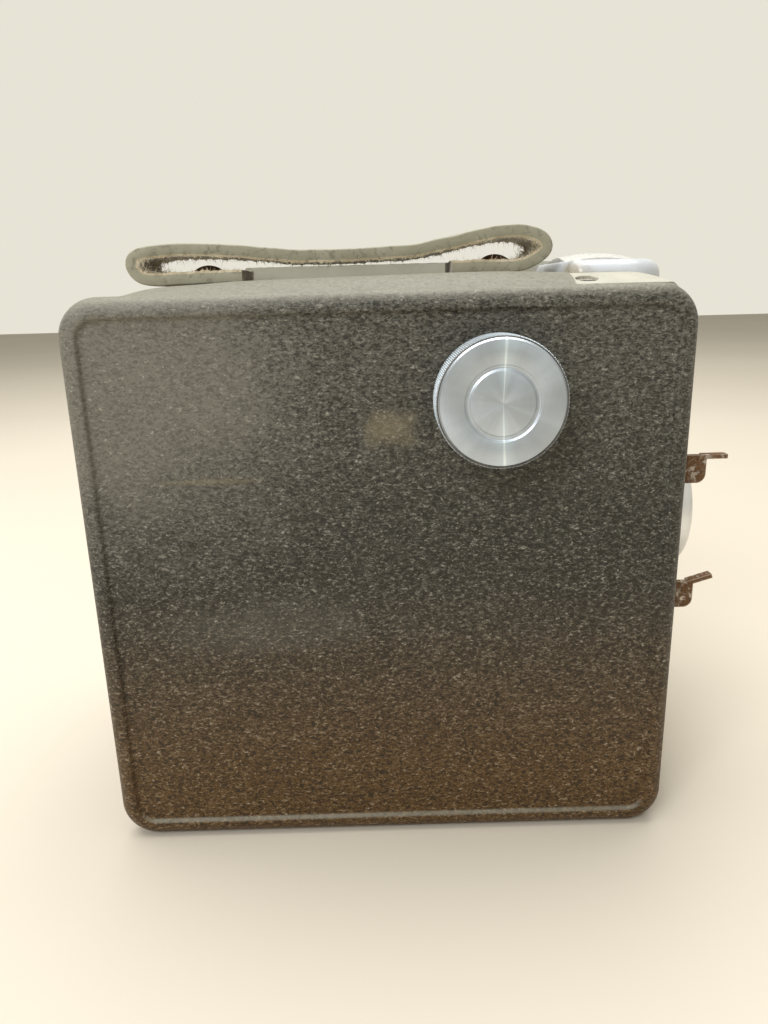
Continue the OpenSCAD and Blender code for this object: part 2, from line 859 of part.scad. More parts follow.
// Middle line of the strap from its rear cut end, round both loops, to its front cut end.
rear_leg_z = pad_top(-28) + strap_t / 2 + 0.1;
front_leg_z = pad_top(22) + strap_t / 2 + 0.15;
strap_line = [
  [-29, rear_leg_z], [-34, rear_leg_z], [-41, rear_leg_z - 0.15], [-46.4, rear_leg_z - 0.35], [-50, 115.3],
  [-51.6, 117.7], [-50, 119.7], [-44, 120.55], [-36, 120.4], [-27, 119.75], [-18, 118.8], [-8, 118.65],
  [1, 118.87], [8, 119.2], [15.5, 120.5], [22, 121.85], [27.5, 122.5], [31, 122.4], [34.6, 121.1],
  [35.7, 118.9], [33.5, 116.8], [29.4, front_leg_z], [20, front_leg_z], [16, front_leg_z]
];
rivets = [[-37, rear_leg_z], [25.9, front_leg_z]];

// Catmull-Rom curve through a list of points.
function curve_point(p, i, t) = let (
    n = len(p) - 1, a = p[max(i - 1, 0)], b = p[i], c = p[i + 1], d = p[min(i + 2, n)]
  ) 0.5 * (2 * b + (c - a) * t + (2 * a - 5 * b + 4 * c - d) * t ^ 2 + (3 * b - a - 3 * c + d) * t ^ 3);
function curve(p, steps) = [
  for (i = [0:len(p) - 2], s = [0:steps - 1]) curve_point(p, i, s / steps), p[len(p) - 1]
];
function unit(v) = v / norm(v);
function side_step(p, i, d) =
  let (t = unit(p[min(i + 1, len(p) - 1)] - p[max(i - 1, 0)])) p[i] + d * [-t[1], t[0]];

module carrying_strap() {
  line = curve(strap_line, 3);
  last = len(line) - 1;
  color([0.36, 0.34, 0.27]) difference() {
    along_y(-strap_w / 2, strap_w / 2) polygon([
      for (i = [0:last]) side_step(line, i, strap_t / 2),
      for (i = [last:-1:0]) side_step(line, i, -strap_t / 2)
    ]);
    for (spot = rivets) translate([spot[0], 0, spot[1] - strap_t]) cylinder(h = 2 * strap_t, r = 1.6);
  }
}

module strap_rivets() {
  head_r = 3.3;
  head_h = 1.3;
  dome_r = 5;
  stem_r = 1.5;
  color([0.45, 0.3, 0.2]) for (spot = rivets) {
    head_z = spot[1] + strap_t / 2 + 0.1;
    foot_z = pad_top(spot[0]) + 0.1;
    translate([spot[0], 0, head_z]) intersection() {
      translate([0, 0, head_h - dome_r]) sphere(dome_r);
      cylinder(h = 2 * head_h, r = head_r);
    }
    translate([spot[0], 0, foot_z]) cylinder(h = head_z + head_h / 2 - foot_z, r = stem_r);
  }
}

body_wrap();
right_side_cover();
left_side_cover();
front_plate();
strap_plate();
top_deck();
top_ledge();
finder_frame();
finder_top_lens();
finder_box();
finder_mirror();
finder_front_lens();
tripod_bush();
lens_barrel();
main_lens();
lens_retainer();
shutter_plate();
pivot_pins();
lever_springs();
shutter_disc();
release_lever();
bulb_slide();
close_up_lever();
close_up_lens();
filter_lever();
yellow_filter();
light_cone();
film_gate();
right_cheek();
left_cheek();
spool_studs();
spool_drag_spring();
upper_roller();
lower_roller();
take_up_spool();
supply_spool();
winder_bush();
drive_sleeve();
winding_shaft();
winding_knob();
hinge_pin();
back_door();
red_window();
window_guide();
window_cover();
door_latch();
latch_bracket();
carrying_strap();
strap_rivets();
deck_screws();
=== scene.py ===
import json
import math
import random

import bmesh
import bpy
import numpy as np
from mathutils import Matrix, Vector, noise


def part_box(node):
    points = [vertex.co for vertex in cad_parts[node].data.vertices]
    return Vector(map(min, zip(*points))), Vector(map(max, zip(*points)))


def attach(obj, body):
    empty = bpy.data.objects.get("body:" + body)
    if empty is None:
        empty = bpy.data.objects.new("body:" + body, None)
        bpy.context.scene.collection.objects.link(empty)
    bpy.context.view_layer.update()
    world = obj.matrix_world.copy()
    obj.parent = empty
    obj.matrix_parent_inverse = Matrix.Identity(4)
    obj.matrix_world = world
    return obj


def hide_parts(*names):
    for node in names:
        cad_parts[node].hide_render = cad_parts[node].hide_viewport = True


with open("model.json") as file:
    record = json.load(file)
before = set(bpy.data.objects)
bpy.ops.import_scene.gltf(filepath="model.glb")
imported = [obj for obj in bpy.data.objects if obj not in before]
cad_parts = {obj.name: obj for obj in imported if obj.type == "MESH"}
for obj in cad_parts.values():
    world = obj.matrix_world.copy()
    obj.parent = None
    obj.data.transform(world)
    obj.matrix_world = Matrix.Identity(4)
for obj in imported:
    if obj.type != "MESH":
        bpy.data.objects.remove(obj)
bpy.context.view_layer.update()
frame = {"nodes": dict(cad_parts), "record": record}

# Sizes are in millimetres here, and turn into metres when a mesh is made.
MM = 0.001
NODES = frame["nodes"]
RNG = random.Random(11)


def low(node):
    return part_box(node)[0] / MM


def high(node):
    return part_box(node)[1] / MM


def middle(node):
    return (low(node) + high(node)) / 2


COVER_LOW = low("right_side_cover")
COVER_HIGH = high("right_side_cover")
HALF_L = COVER_HIGH.x
TALL = COVER_HIGH.z
HALF_W = -COVER_LOW.y
FLANGE = COVER_HIGH.y - COVER_LOW.y
CORNER_R = 7.5
KNOB = middle("winding_knob")
KNOB_R = (high("winding_knob").x - low("winding_knob").x) / 2


# ---------------------------------------------------------------- node graphs


class Look:
    """A material whose node graph is built by small calls. Lengths in it are millimetres."""

    def __init__(self, name):
        self.material = bpy.data.materials.new(name)
        self.material.use_nodes = True
        self.tree = self.material.node_tree
        self.surface = self.tree.nodes["Principled BSDF"]
        where = self.node("TexCoord")
        self.place = self.vector("SCALE", where.outputs["Object"], scale=1 / MM)
        self.facing = where.outputs["Normal"]

    def node(self, kind, **settings):
        made = self.tree.nodes.new("ShaderNode" + kind)
        for key, value in settings.items():
            setattr(made, key, value)
        return made

    def feed(self, socket, value):
        if isinstance(value, bpy.types.NodeSocket):
            self.tree.links.new(value, socket)
        elif value is not None:
            socket.default_value = value

    def vector(self, operation, a, b=None, scale=None):
        made = self.node("VectorMath", operation=operation)
        self.feed(made.inputs[0], a)
        self.feed(made.inputs[1], b)
        if scale is not None:
            self.feed(made.inputs["Scale"], scale)
        return made.outputs["Value" if operation in ("LENGTH", "DOT_PRODUCT") else "Vector"]

    def math(self, operation, a, b=None):
        made = self.node("Math", operation=operation)
        self.feed(made.inputs[0], a)
        self.feed(made.inputs[1], b)
        return made.outputs[0]

    def axis(self, vector, name):
        split = self.node("SeparateXYZ")
        self.feed(split.inputs[0], vector)
        return split.outputs[name]

    def stretched(self, x, y, z):
        return self.vector("MULTIPLY", self.place, (x, y, z))

    def noise(self, size, detail=3.0, rough=0.5, warp=0.0, place=None):
        """Noise from 0 to 1 whose features are about size across."""
        made = self.node("TexNoise")
        self.feed(made.inputs["Vector"], place or self.place)
        made.inputs["Scale"].default_value = 1 / size
        made.inputs["Detail"].default_value = detail
        made.inputs["Roughness"].default_value = rough
        made.inputs["Distortion"].default_value = warp
        return made.outputs[0]

    def cells(self, size, feature="F1", pick="Distance"):
        """Distance from the nearest of points about size apart, or that point's colour."""
        made = self.node("TexVoronoi", feature=feature)
        self.feed(made.inputs["Vector"], self.place)
        made.inputs["Scale"].default_value = 1 / size
        return made.outputs[pick]

    def ramp(self, value, start, end, to_low=0.0, to_high=1.0):
        """Runs smoothly from to_low to to_high as value goes from start to end."""
        made = self.node("MapRange", interpolation_type="SMOOTHSTEP")
        self.feed(made.inputs["Value"], value)
        for key, number in zip(("From Min", "From Max", "To Min", "To Max"), (start, end, to_low, to_high)):
            made.inputs[key].default_value = number
        return made.outputs["Result"]

    def mix(self, share, a, b):
        """Colour a, turning into b as share goes from 0 to 1."""
        made = self.node("Mix", data_type="RGBA")
        self.feed(made.inputs[0], share)
        for socket, value in ((made.inputs[6], a), (made.inputs[7], b)):
            self.feed(socket, (*value, 1) if isinstance(value, tuple) else value)
        return made.outputs[2]

    def specks(self, size, share, radius):
        """Specks of about the given radius, in a share of the cells."""
        chance = self.axis(self.cells(size, pick="Color"), "X")
        chosen = self.math("LESS_THAN", chance, share)
        wobble = self.math("MULTIPLY", self.noise(radius * 1.6, 2), 1.2 * radius / size)
        distance = self.math("ADD", self.cells(size), wobble)
        dot = self.ramp(distance, 1.5 * radius / size, 1.1 * radius / size)
        return self.math("MULTIPLY", chosen, dot)

    def near(self, centre, reach, ragged, grain):
        """1 at centre, falling to 0 at reach (x, y, z) from it, with a ragged edge."""
        offset = self.vector("SUBTRACT", self.place, tuple(centre))
        scaled = self.vector("DIVIDE", offset, tuple(reach))
        distance = self.vector("LENGTH", scaled)
        wobble = self.math("MULTIPLY", self.noise(grain, 4), ragged * 2)
        return self.ramp(self.math("ADD", distance, wobble), 1 + ragged, 0.25 + ragged)

    def edges(self, reach):
        """1 on sharp edges and corners."""
        rounded = self.node("Bevel", samples=4)
        rounded.inputs["Radius"].default_value = reach * MM
        plain = self.node("NewGeometry").outputs["Normal"]
        match = self.vector("DOT_PRODUCT", rounded.outputs[0], plain)
        return self.ramp(match, 0.995, 0.86)

    def crevices(self, reach):
        """1 deep in corners between surfaces."""
        made = self.node("AmbientOcclusion", samples=6)
        made.inputs["Distance"].default_value = reach * MM
        return self.ramp(made.outputs["AO"], 0.85, 0.3)

    def bump(self, height, depth, strength=1.0):
        made = self.node("Bump")
        made.inputs["Strength"].default_value = strength
        made.inputs["Distance"].default_value = depth * MM
        self.feed(made.inputs["Height"], height)
        return made.outputs[0]

    def finish(self, color, **inputs):
        """Feeds the surface and returns the material. inputs are the surface's inputs by name."""
        names = {"ior": "IOR", "coat": "Coat Weight", "see_through": "Transmission Weight",
                 "gloss": "Specular IOR Level"}
        self.feed(self.surface.inputs["Base Color"], color)
        for key, value in inputs.items():
            self.feed(self.surface.inputs[names.get(key, key.replace("_", " ").title())], value)
        return self.material


def crinkle_paint():
    """Dark crinkle enamel with fine wrinkles. Its hollows hold painted shade and its crests a painted
    highlight and painted glints. It is browner low down, a painted warm bounce light, and hazy and paler
    higher up. Faces turned up are lighter with dust and a painted sheen, and painted shade darkens its
    crevices, most near the top.
    """
    look = Look("crinkle_paint")
    flat = look.stretched(0.72, 0.72, 1.25)
    fold = look.noise(0.58, 2, 0.6, 0.8, flat)
    grit = look.noise(0.27, 2, 0.6, 0.2, flat)
    height = look.math("ADD", fold, look.math("MULTIPLY", grit, 0.45))
    broad = look.noise(38, 3, 0.55)
    base = look.mix(look.ramp(broad, 0.3, 0.7), PAINT_TONES["dark"], PAINT_TONES["mid"])
    height_up = look.axis(look.place, "Z")
    # Browner towards the bottom, in the base tone and on the crests: a painted warm bounce light.
    warm_bounce_low = look.ramp(height_up, 66, 6)
    base = look.mix(look.math("MULTIPLY", warm_bounce_low, 0.9), base, PAINT_TONES["brown"])
    upper = look.ramp(height_up, 60, 108)
    base = look.mix(look.math("MULTIPLY", upper, 0.7), base, PAINT_TONES["pale"])
    haze = look.near((-50, -39, 95), (46, 30, 44), 0.3, 14)
    hazed = look.mix(look.math("MULTIPLY", haze, 0.5), base, (0.25, 0.235, 0.195))
    relief = look.ramp(haze, 0, 1, 1.0, 0.45)
    # Painted shade in the wrinkle hollows, a painted highlight on the crests, and painted glints on the
    # highest crests.
    painted_valley_shade = look.math("MULTIPLY", look.ramp(height, 0.74, 0.60), relief)
    painted_crest_highlight = look.ramp(height, 0.75, 0.88)
    painted_glint = look.ramp(height, 0.88, 0.97)
    color = look.mix(look.math("MULTIPLY", painted_valley_shade, 0.8), hazed, (0.010, 0.009, 0.006))
    painted_crest_tone = look.mix(look.math("MULTIPLY", warm_bounce_low, 0.8), (0.19, 0.185, 0.155), (0.22, 0.14, 0.065))
    color = look.mix(look.math("MULTIPLY", painted_crest_highlight, 0.55), color, painted_crest_tone)
    color = look.mix(look.math("MULTIPLY", painted_glint, 0.5), color, (0.45, 0.43, 0.36))
    for place, reach, ragged, grain, share, tone in SCUFFS:
        mark = look.math("MULTIPLY", look.near(place, reach, ragged, grain), share)
        color = look.mix(mark, color, tone)
    dust = look.math("MAXIMUM", look.specks(1.5, 0.16, 0.12), look.specks(4.6, 0.14, 0.17))
    color = look.mix(look.math("MULTIPLY", dust, 0.6), color, (0.56, 0.54, 0.47))
    # Faces turned up are lightened, partly by dust and partly as a painted sheen.
    upward = look.ramp(look.axis(look.facing, "Z"), 0.25, 0.95)
    patchy = look.ramp(look.noise(0.9, 4, 0.65), 0.25, 0.6, 0.55, 1.0)
    dust_and_sheen = look.math("MULTIPLY", look.math("MULTIPLY", upward, patchy), 0.72)
    color = look.mix(dust_and_sheen, color, (0.235, 0.222, 0.17))
    # Painted shade in the crevices, strongest near the top, where it stands in for the shadow under the top
    # rim.
    painted_shade_share = look.ramp(height_up, 95, 108, 0.12, 0.7)
    crevice_darkening = look.math("MULTIPLY", look.crevices(1.3), painted_shade_share)
    color = look.mix(crevice_darkening, color, (0.02, 0.018, 0.013))
    worn = look.math("MULTIPLY", look.edges(0.6), look.ramp(look.noise(2.4, 4, 0.6), 0.42, 0.62))
    color = look.mix(look.math("MULTIPLY", worn, 0.4), color, (0.30, 0.28, 0.24))
    rough = look.ramp(broad, 0.3, 0.75, 0.40, 0.55)
    skin = look.bump(height, 0.13, 0.9)
    return look.finish(color, roughness=rough, normal=skin, gloss=0.32)


def enamel(name, base, dirt, grain, soiled=None):
    """Old gloss enamel with yellowed patches, grime in its corners and chips on its edges.

    soiled is a place and reach where dirt has gathered."""
    look = Look(name)
    tone = look.mix(look.ramp(look.noise(9, 3), 0.35, 0.7), base, tuple(0.88 * c for c in base))
    crevice_darkening = look.math("MULTIPLY", look.crevices(1.6), look.ramp(look.noise(2.2, 4), 0.3, 0.6))
    tone = look.mix(look.math("MULTIPLY", crevice_darkening, 0.8), tone, dirt)
    chips = look.math("MULTIPLY", look.edges(0.45), look.ramp(look.noise(1.4, 3), 0.56, 0.6))
    tone = look.mix(chips, tone, (0.13, 0.10, 0.07))
    specks = look.math("MULTIPLY", look.specks(2.4, 0.2, 0.15), 0.6)
    tone = look.mix(specks, tone, dirt)
    if soiled:
        tone = look.mix(look.math("MULTIPLY", look.near(*soiled, 0.5, 2), 0.7), tone, dirt)
    skin = look.bump(look.noise(grain, 2), 0.02)
    rough = look.ramp(look.noise(5, 3), 0.3, 0.7, 0.24, 0.42)
    return look.finish(tone, roughness=rough, normal=skin, coat=0.2)


def bright_metal():
    """Polished light alloy with fine rubbing marks and dull patches."""
    look = Look("bright_metal")
    rub = look.noise(0.35, 3, 0.6, 0, look.stretched(0.08, 1, 1))
    patches = look.noise(5, 4)
    tone = look.mix(look.ramp(patches, 0.4, 0.75), (0.86, 0.86, 0.84), (0.70, 0.69, 0.66))
    tone = look.mix(look.math("MULTIPLY", look.crevices(1.4), 0.8), tone, (0.16, 0.14, 0.11))
    rough = look.math("ADD", look.ramp(patches, 0.35, 0.75, 0.14, 0.26), look.math("MULTIPLY", rub, 0.1))
    return look.finish(tone, metallic=1.0, roughness=rough, normal=look.bump(rub, 0.008))


def turned_metal(name, centre, axis_mask, tone_a, tone_b, ring, depth, streaks=None):
    """Lathe-turned metal: fine rings round an axis. With streaks, painted dark and pale wedges and a painted
    highlight streak stand in for the lamps' reflections across the rings.
    """
    look = Look(name)
    offset = look.vector("SUBTRACT", look.place, tuple(centre))
    radius = look.vector("LENGTH", look.vector("MULTIPLY", offset, axis_mask))
    line = look.node("CombineXYZ")
    look.feed(line.inputs[0], radius)
    rings = look.noise(ring, 3, 0.7, 0, line.outputs[0])
    smear = look.noise(6, 3)
    tone = look.mix(look.ramp(smear, 0.3, 0.75), tone_a, tone_b)
    if streaks:
        # Painted reflection: dark and pale radial wedges, and a bright painted highlight streak running up
        # and down through the middle of the face.
        across = look.math("DIVIDE", look.axis(offset, "X"), radius)
        turn = look.math("ABSOLUTE", look.math("SUBTRACT", across, streaks["lean"]))
        upright = look.math("DIVIDE", look.axis(offset, "Z"), radius)
        spun = look.node("CombineXYZ")
        look.feed(spun.inputs[0], look.math("MULTIPLY", across, streaks["wedges"]))
        look.feed(spun.inputs[1], look.math("MULTIPLY", upright, streaks["wedges"]))
        wedges = look.ramp(look.noise(1.0, 3, 0.6, 0, spun.outputs[0]), 0.32, 0.68)
        tone = look.mix(look.math("MULTIPLY", wedges, 0.5), tone, streaks["shade"])
        tone = look.mix(look.math("MULTIPLY", look.ramp(turn, 0.30, 0.0), 0.6), tone, streaks["glow"])
        tone = look.mix(look.math("MULTIPLY", look.ramp(turn, 0.045, 0.0), 0.75), tone, streaks["core"])
    shaded = look.vector("SCALE", tone, scale=look.ramp(rings, 0.35, 0.65, 0.93, 1.05))
    tone = look.mix(look.math("MULTIPLY", look.crevices(0.8), 0.5), shaded, (0.12, 0.11, 0.10))
    stain = look.math("MULTIPLY", look.ramp(look.noise(1.6, 5, 0.65), 0.62, 0.72), 0.25)
    tone = look.mix(stain, tone, (0.62, 0.60, 0.55))
    rough = look.math("ADD", look.ramp(rings, 0.3, 0.7, 0.26, 0.36), look.math("MULTIPLY", smear, 0.06))
    skin = look.bump(rings, depth)
    if streaks:
        tangent = look.node("Tangent", direction_type="RADIAL", axis="Y").outputs[0]
        return look.finish(tone, metallic=1.0, roughness=rough, normal=skin, tangent=tangent, anisotropic=0.6)
    return look.finish(tone, metallic=1.0, roughness=rough, normal=skin)


def knurl_metal():
    """The knob's knurled edge: a painted bluish highlight on the crests, and patchy painted shade in the
    cuts.
    """
    look = Look("knurled_aluminium")
    offset = look.vector("SUBTRACT", look.place, tuple(KNOB))
    radius = look.vector("LENGTH", look.vector("MULTIPLY", offset, (1, 0, 1)))
    painted_crest_highlight = look.ramp(radius, KNOB_R - 0.34, KNOB_R - 0.1)
    # The dark, patchy tones in the cuts are painted shade. The bright bluish tone on the crests is a painted
    # highlight.
    painted_cut_shade = look.mix(look.ramp(look.noise(2.5, 4), 0.35, 0.7), (0.06, 0.055, 0.045), (0.13, 0.12, 0.10))
    tone = look.mix(painted_crest_highlight, painted_cut_shade, (0.50, 0.56, 0.61))
    metallic = look.ramp(painted_crest_highlight, 0, 1, 0.0, 0.3)
    return look.finish(tone, metallic=metallic, roughness=look.ramp(painted_crest_highlight, 0, 1, 0.9, 0.5), gloss=0.05)


def plated_metal(name, bright, dull, spot):
    """Plated steel, rubbed dull in patches, with a few dark spots."""
    look = Look(name)
    patches = look.noise(4, 4, 0.6)
    tone = look.mix(look.ramp(patches, 0.35, 0.7), bright, dull)
    spots = look.math("MULTIPLY", look.ramp(look.noise(0.9, 4, 0.6), 0.64, 0.7), 0.7)
    tone = look.mix(spots, tone, spot)
    tone = look.mix(look.math("MULTIPLY", look.crevices(1.0), 0.6), tone, (0.08, 0.07, 0.05))
    rub = look.noise(0.25, 2, 0.6, 0, look.stretched(1, 0.1, 1))
    rough = look.math("ADD", look.ramp(patches, 0.3, 0.7, 0.22, 0.4), look.math("MULTIPLY", spots, 0.3))
    metallic = look.math("SUBTRACT", 1.0, spots)
    return look.finish(tone, metallic=metallic, roughness=rough, normal=look.bump(rub, 0.01))


def rusty_steel(name, cover, steel_tone):
    """Steel under patchy brown rust, bare on its edges. It rusts over more as cover rises from 0 to 1."""
    look = Look(name)
    patch = look.noise(1.7, 6, 0.68, 0.4)
    rust = look.ramp(patch, 0.62 - 0.4 * cover, 0.74 - 0.4 * cover)
    rubbed = look.math("MULTIPLY", look.edges(0.4), 0.85)
    rust = look.math("MULTIPLY", rust, look.math("SUBTRACT", 1.0, rubbed))
    shade = look.noise(0.5, 4, 0.7)
    brown = look.mix(look.ramp(shade, 0.3, 0.7), (0.070, 0.032, 0.012), (0.20, 0.105, 0.045))
    bare = look.mix(look.ramp(look.noise(3, 3), 0.3, 0.7), steel_tone, tuple(0.6 * c for c in steel_tone))
    pits = look.math("MULTIPLY", rust, look.noise(0.28, 4, 0.75))
    metallic = look.ramp(rust, 0, 1, 0.9, 0.0)
    rough = look.ramp(rust, 0, 1, 0.34, 0.9)
    tone = look.mix(rust, bare, brown)
    return look.finish(tone, metallic=metallic, roughness=rough, normal=look.bump(pits, 0.12))


def leather(name, tone, worn, pore, depth, fuzz):
    """Strap leather: pores, creases across the strap and rubbed patches.

    fuzz lightens it at grazing angles."""
    look = Look(name)
    pores = look.cells(pore, "SMOOTH_F1")
    creases = look.noise(1.3, 4, 0.6, 0.5, look.stretched(1.0, 0.22, 1.0))
    patches = look.noise(7, 4, 0.6)
    color = look.mix(look.ramp(patches, 0.38, 0.68), tone, worn)
    color = look.mix(look.ramp(creases, 0.5, 0.32), color, tuple(0.72 * c for c in tone))
    fleck = look.math("MULTIPLY", look.specks(1.1, 0.15, 0.12), 0.5)
    color = look.mix(fleck, color, (0.52, 0.47, 0.34))
    height = look.math("ADD", pores, look.math("MULTIPLY", creases, 1.2))
    rough = look.ramp(patches, 0.3, 0.7, 0.55, 0.75)
    skin = look.bump(height, depth)
    return look.finish(color, roughness=rough, normal=skin, sheen_weight=fuzz, sheen_roughness=0.5)


def black_paint():
    look = Look("matt_black_paint")
    worn = look.math("MULTIPLY", look.edges(0.4), look.ramp(look.noise(1.8, 4), 0.45, 0.6))
    tone = look.mix(look.ramp(look.noise(12, 3), 0.3, 0.7), (0.018, 0.017, 0.016), (0.034, 0.032, 0.029))
    tone = look.mix(look.math("MULTIPLY", worn, 0.7), tone, (0.30, 0.28, 0.25))
    return look.finish(tone, roughness=look.ramp(look.noise(3, 3), 0.3, 0.7, 0.5, 0.7),
                       normal=look.bump(look.noise(0.35, 2), 0.03))


def moulded_plastic():
    look = Look("moulded_plastic")
    tone = look.mix(look.ramp(look.noise(6, 3), 0.3, 0.7), (0.020, 0.019, 0.019), (0.032, 0.030, 0.030))
    scratch = look.noise(0.3, 3, 0.6, 0, look.stretched(1, 0.08, 1))
    rough = look.ramp(scratch, 0.4, 0.7, 0.3, 0.5)
    return look.finish(tone, roughness=rough, normal=look.bump(scratch, 0.01))


def glass(name, tint, rough=0.03, weight=1.0):
    look = Look(name)
    haze = look.ramp(look.noise(3, 4, 0.6), 0.45, 0.8, rough, rough + 0.12)
    dust = look.math("MULTIPLY", look.specks(0.9, 0.12, 0.06), 0.6)
    clear = look.math("SUBTRACT", weight, dust)
    color = look.mix(dust, tint, (0.75, 0.73, 0.68))
    return look.finish(color, roughness=haze, see_through=clear, ior=1.5)


def mirror_glass():
    look = Look("silvered_mirror")
    tarnish = look.ramp(look.noise(2.2, 5, 0.65), 0.6, 0.72)
    tone = look.mix(look.math("MULTIPLY", tarnish, 0.6), (0.88, 0.90, 0.92), (0.35, 0.29, 0.20))
    return look.finish(tone, metallic=1.0, roughness=look.ramp(tarnish, 0, 1, 0.02, 0.3))


def floor_paper():
    look = Look("pale_floor")
    tone = look.mix(look.ramp(look.noise(400, 3), 0.3, 0.7), (0.66, 0.60, 0.50), (0.70, 0.64, 0.54))
    return look.finish(tone, roughness=0.75, normal=look.bump(look.noise(1.2, 2), 0.02))


# The crinkle paint's tones: "brown" is mixed in low down as a painted warm bounce light.
PAINT_TONES = {
    "dark": (0.034, 0.033, 0.026), "mid": (0.047, 0.045, 0.036), "brown": (0.092, 0.044, 0.008),
    "pale": (0.115, 0.110, 0.092),
}
# Worn or dusty places on the paint: centre, reach, raggedness, grain, strength and tone.
SCUFFS = (
    ((1.5, -38, 86.5), (7, 6, 5), 0.5, 3, 0.34, (0.30, 0.25, 0.15)),
    ((-32, -38, 77.6), (13, 5, 0.9), 0.3, 2, 0.3, (0.26, 0.21, 0.13)),
    ((-24, -38, 48), (30, 5, 8), 0.6, 6, 0.10, (0.24, 0.24, 0.21)),
    ((30, 39, 80), (20, 8, 14), 0.5, 6, 0.12, (0.28, 0.26, 0.20)),
    ((-57, 0, 70), (6, 22, 26), 0.6, 7, 0.12, (0.28, 0.26, 0.20)),
)
LENS_AXIS = middle("lens_barrel")
PAINT = crinkle_paint()
CREAM = enamel("cream_enamel", (0.50, 0.488, 0.405), (0.33, 0.25, 0.14), 0.9)
FRONT = enamel("front_enamel", (0.52, 0.49, 0.42), (0.16, 0.13, 0.09), 0.7)
SATIN = enamel("satin_frame", (0.60, 0.63, 0.67), (0.32, 0.26, 0.15), 0.9, ((38.5, -17, 113), (6, 9, 4)))
BRIGHT = bright_metal()
# Painted reflection on the knob's face: "shade" tints the dark wedges, and "glow" and "core" tint the
# highlight streak.
KNOB_STREAKS = {
    "lean": 0.04, "wedges": 1.7,
    "shade": (0.35, 0.385, 0.42), "glow": (0.60, 0.71, 0.80), "core": (0.84, 0.93, 0.99),
}
# The knob's aluminium tones, tinted bluish as a painted sky reflection.
KNOB_TONES = ((0.43, 0.48, 0.54), (0.51, 0.57, 0.64))
KNOB_FACE = turned_metal("turned_aluminium", KNOB, (1, 0, 1), *KNOB_TONES, 0.12, 0.012, KNOB_STREAKS)
KNURL = knurl_metal()
BARREL_TONES = ((0.74, 0.75, 0.76), (0.62, 0.62, 0.62))
BARREL = turned_metal("turned_barrel", LENS_AXIS, (0, 1, 1), *BARREL_TONES, 0.2, 0.008)
NICKEL = plated_metal("nickel_plate", (0.62, 0.60, 0.56), (0.45, 0.43, 0.39), (0.16, 0.09, 0.05))
BRASS = plated_metal("brass", (0.72, 0.55, 0.27), (0.50, 0.36, 0.16), (0.13, 0.08, 0.04))
RIVET = rusty_steel("tarnished_rivet", 0.75, (0.42, 0.26, 0.18))
RUST = rusty_steel("rusty_steel", 0.62, (0.50, 0.44, 0.37))
GRAIN_SIDE = leather("leather_grain", (0.15, 0.138, 0.10), (0.25, 0.235, 0.175), 0.55, 0.08, 0.3)
CUT_EDGE = leather("leather_cut_edge", (0.305, 0.290, 0.205), (0.375, 0.36, 0.27), 0.3, 0.035, 0.3)
# The flesh side and torn ends: the leather's own tan, brightened further as painted fill light for their
# shaded places in the loops.
FLESH_SIDE = leather("leather_flesh", (0.50, 0.41, 0.26), (0.70, 0.61, 0.44), 0.3, 0.14, 0.8)
TORN_END = leather("leather_torn_end", (0.34, 0.27, 0.16), (0.52, 0.45, 0.32), 0.3, 0.14, 0.5)
BLACK = black_paint()
PLASTIC = moulded_plastic()
CLEAR = glass("clear_glass", (0.96, 0.98, 0.97))
DUSTY = glass("dusty_glass", (0.90, 0.90, 0.86), 0.15, 0.4)
YELLOW = glass("yellow_glass", (0.95, 0.68, 0.06))
RED = glass("red_window_glass", (0.55, 0.015, 0.01), 0.08, 0.85)
MIRROR = mirror_glass()

BY_SLOT = {
    "casing_paint": PAINT, "front_metal": FRONT, "cream_enamel": CREAM, "bright_metal": BRIGHT,
    "knob_aluminium": KNOB_FACE, "nickel": NICKEL, "rusty_steel": RUST, "rivet_bronze": RIVET, "brass": BRASS,
    "black_paint": BLACK, "spool_plastic": PLASTIC, "strap_leather": GRAIN_SIDE, "clear_glass": CLEAR,
    "yellow_glass": YELLOW, "red_window": RED, "mirror": MIRROR,
}
BY_NODE = {"lens_barrel": BARREL, "finder_frame": SATIN, "deck_screws": NICKEL, "finder_top_lens": DUSTY}


# ---------------------------------------------------------------- mesh helpers


def new_piece(name, bm, materials, body, stands_for=(), sharp=40):
    """Turns a bmesh in millimetres into a piece that rides on a CAD body."""
    bmesh.ops.scale(bm, vec=(MM, MM, MM), verts=bm.verts)
    mesh = bpy.data.meshes.new(name)
    bm.to_mesh(mesh)
    bm.free()
    for material in materials:
        mesh.materials.append(material)
    mesh.shade_smooth()
    mesh.set_sharp_from_angle(angle=math.radians(sharp))
    piece = bpy.data.objects.new(name, mesh)
    bpy.context.scene.collection.objects.link(piece)
    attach(piece, body)
    if stands_for:
        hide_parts(*stands_for)
    return piece


def loft(bm, rows, round_rows=False, round_columns=True, caps=(False, False), pick=None):
    """Faces between rows of points. Returns the rows of vertices.

    pick(row, column) gives a face's material."""
    verts = [[bm.verts.new(point) for point in row] for row in rows]
    count, width = len(verts), len(verts[0])
    for i in range(count if round_rows else count - 1):
        for j in range(width if round_columns else width - 1):
            following = verts[(i + 1) % count]
            corners = (verts[i][j], verts[i][(j + 1) % width], following[(j + 1) % width], following[j])
            face = bm.faces.new(corners)
            if pick:
                face.material_index = pick(i, j)
    if caps[0]:
        bm.faces.new(list(reversed(verts[0])))
    if caps[1]:
        bm.faces.new(verts[-1])
    return verts


def loop_edges(bm, loop):
    """The edges round a closed loop of vertices."""
    found = []
    for a, b in zip(loop, loop[1:] + loop[:1]):
        found.append(bm.edges.get((a, b)) or bm.edges.new((a, b)))
    return found


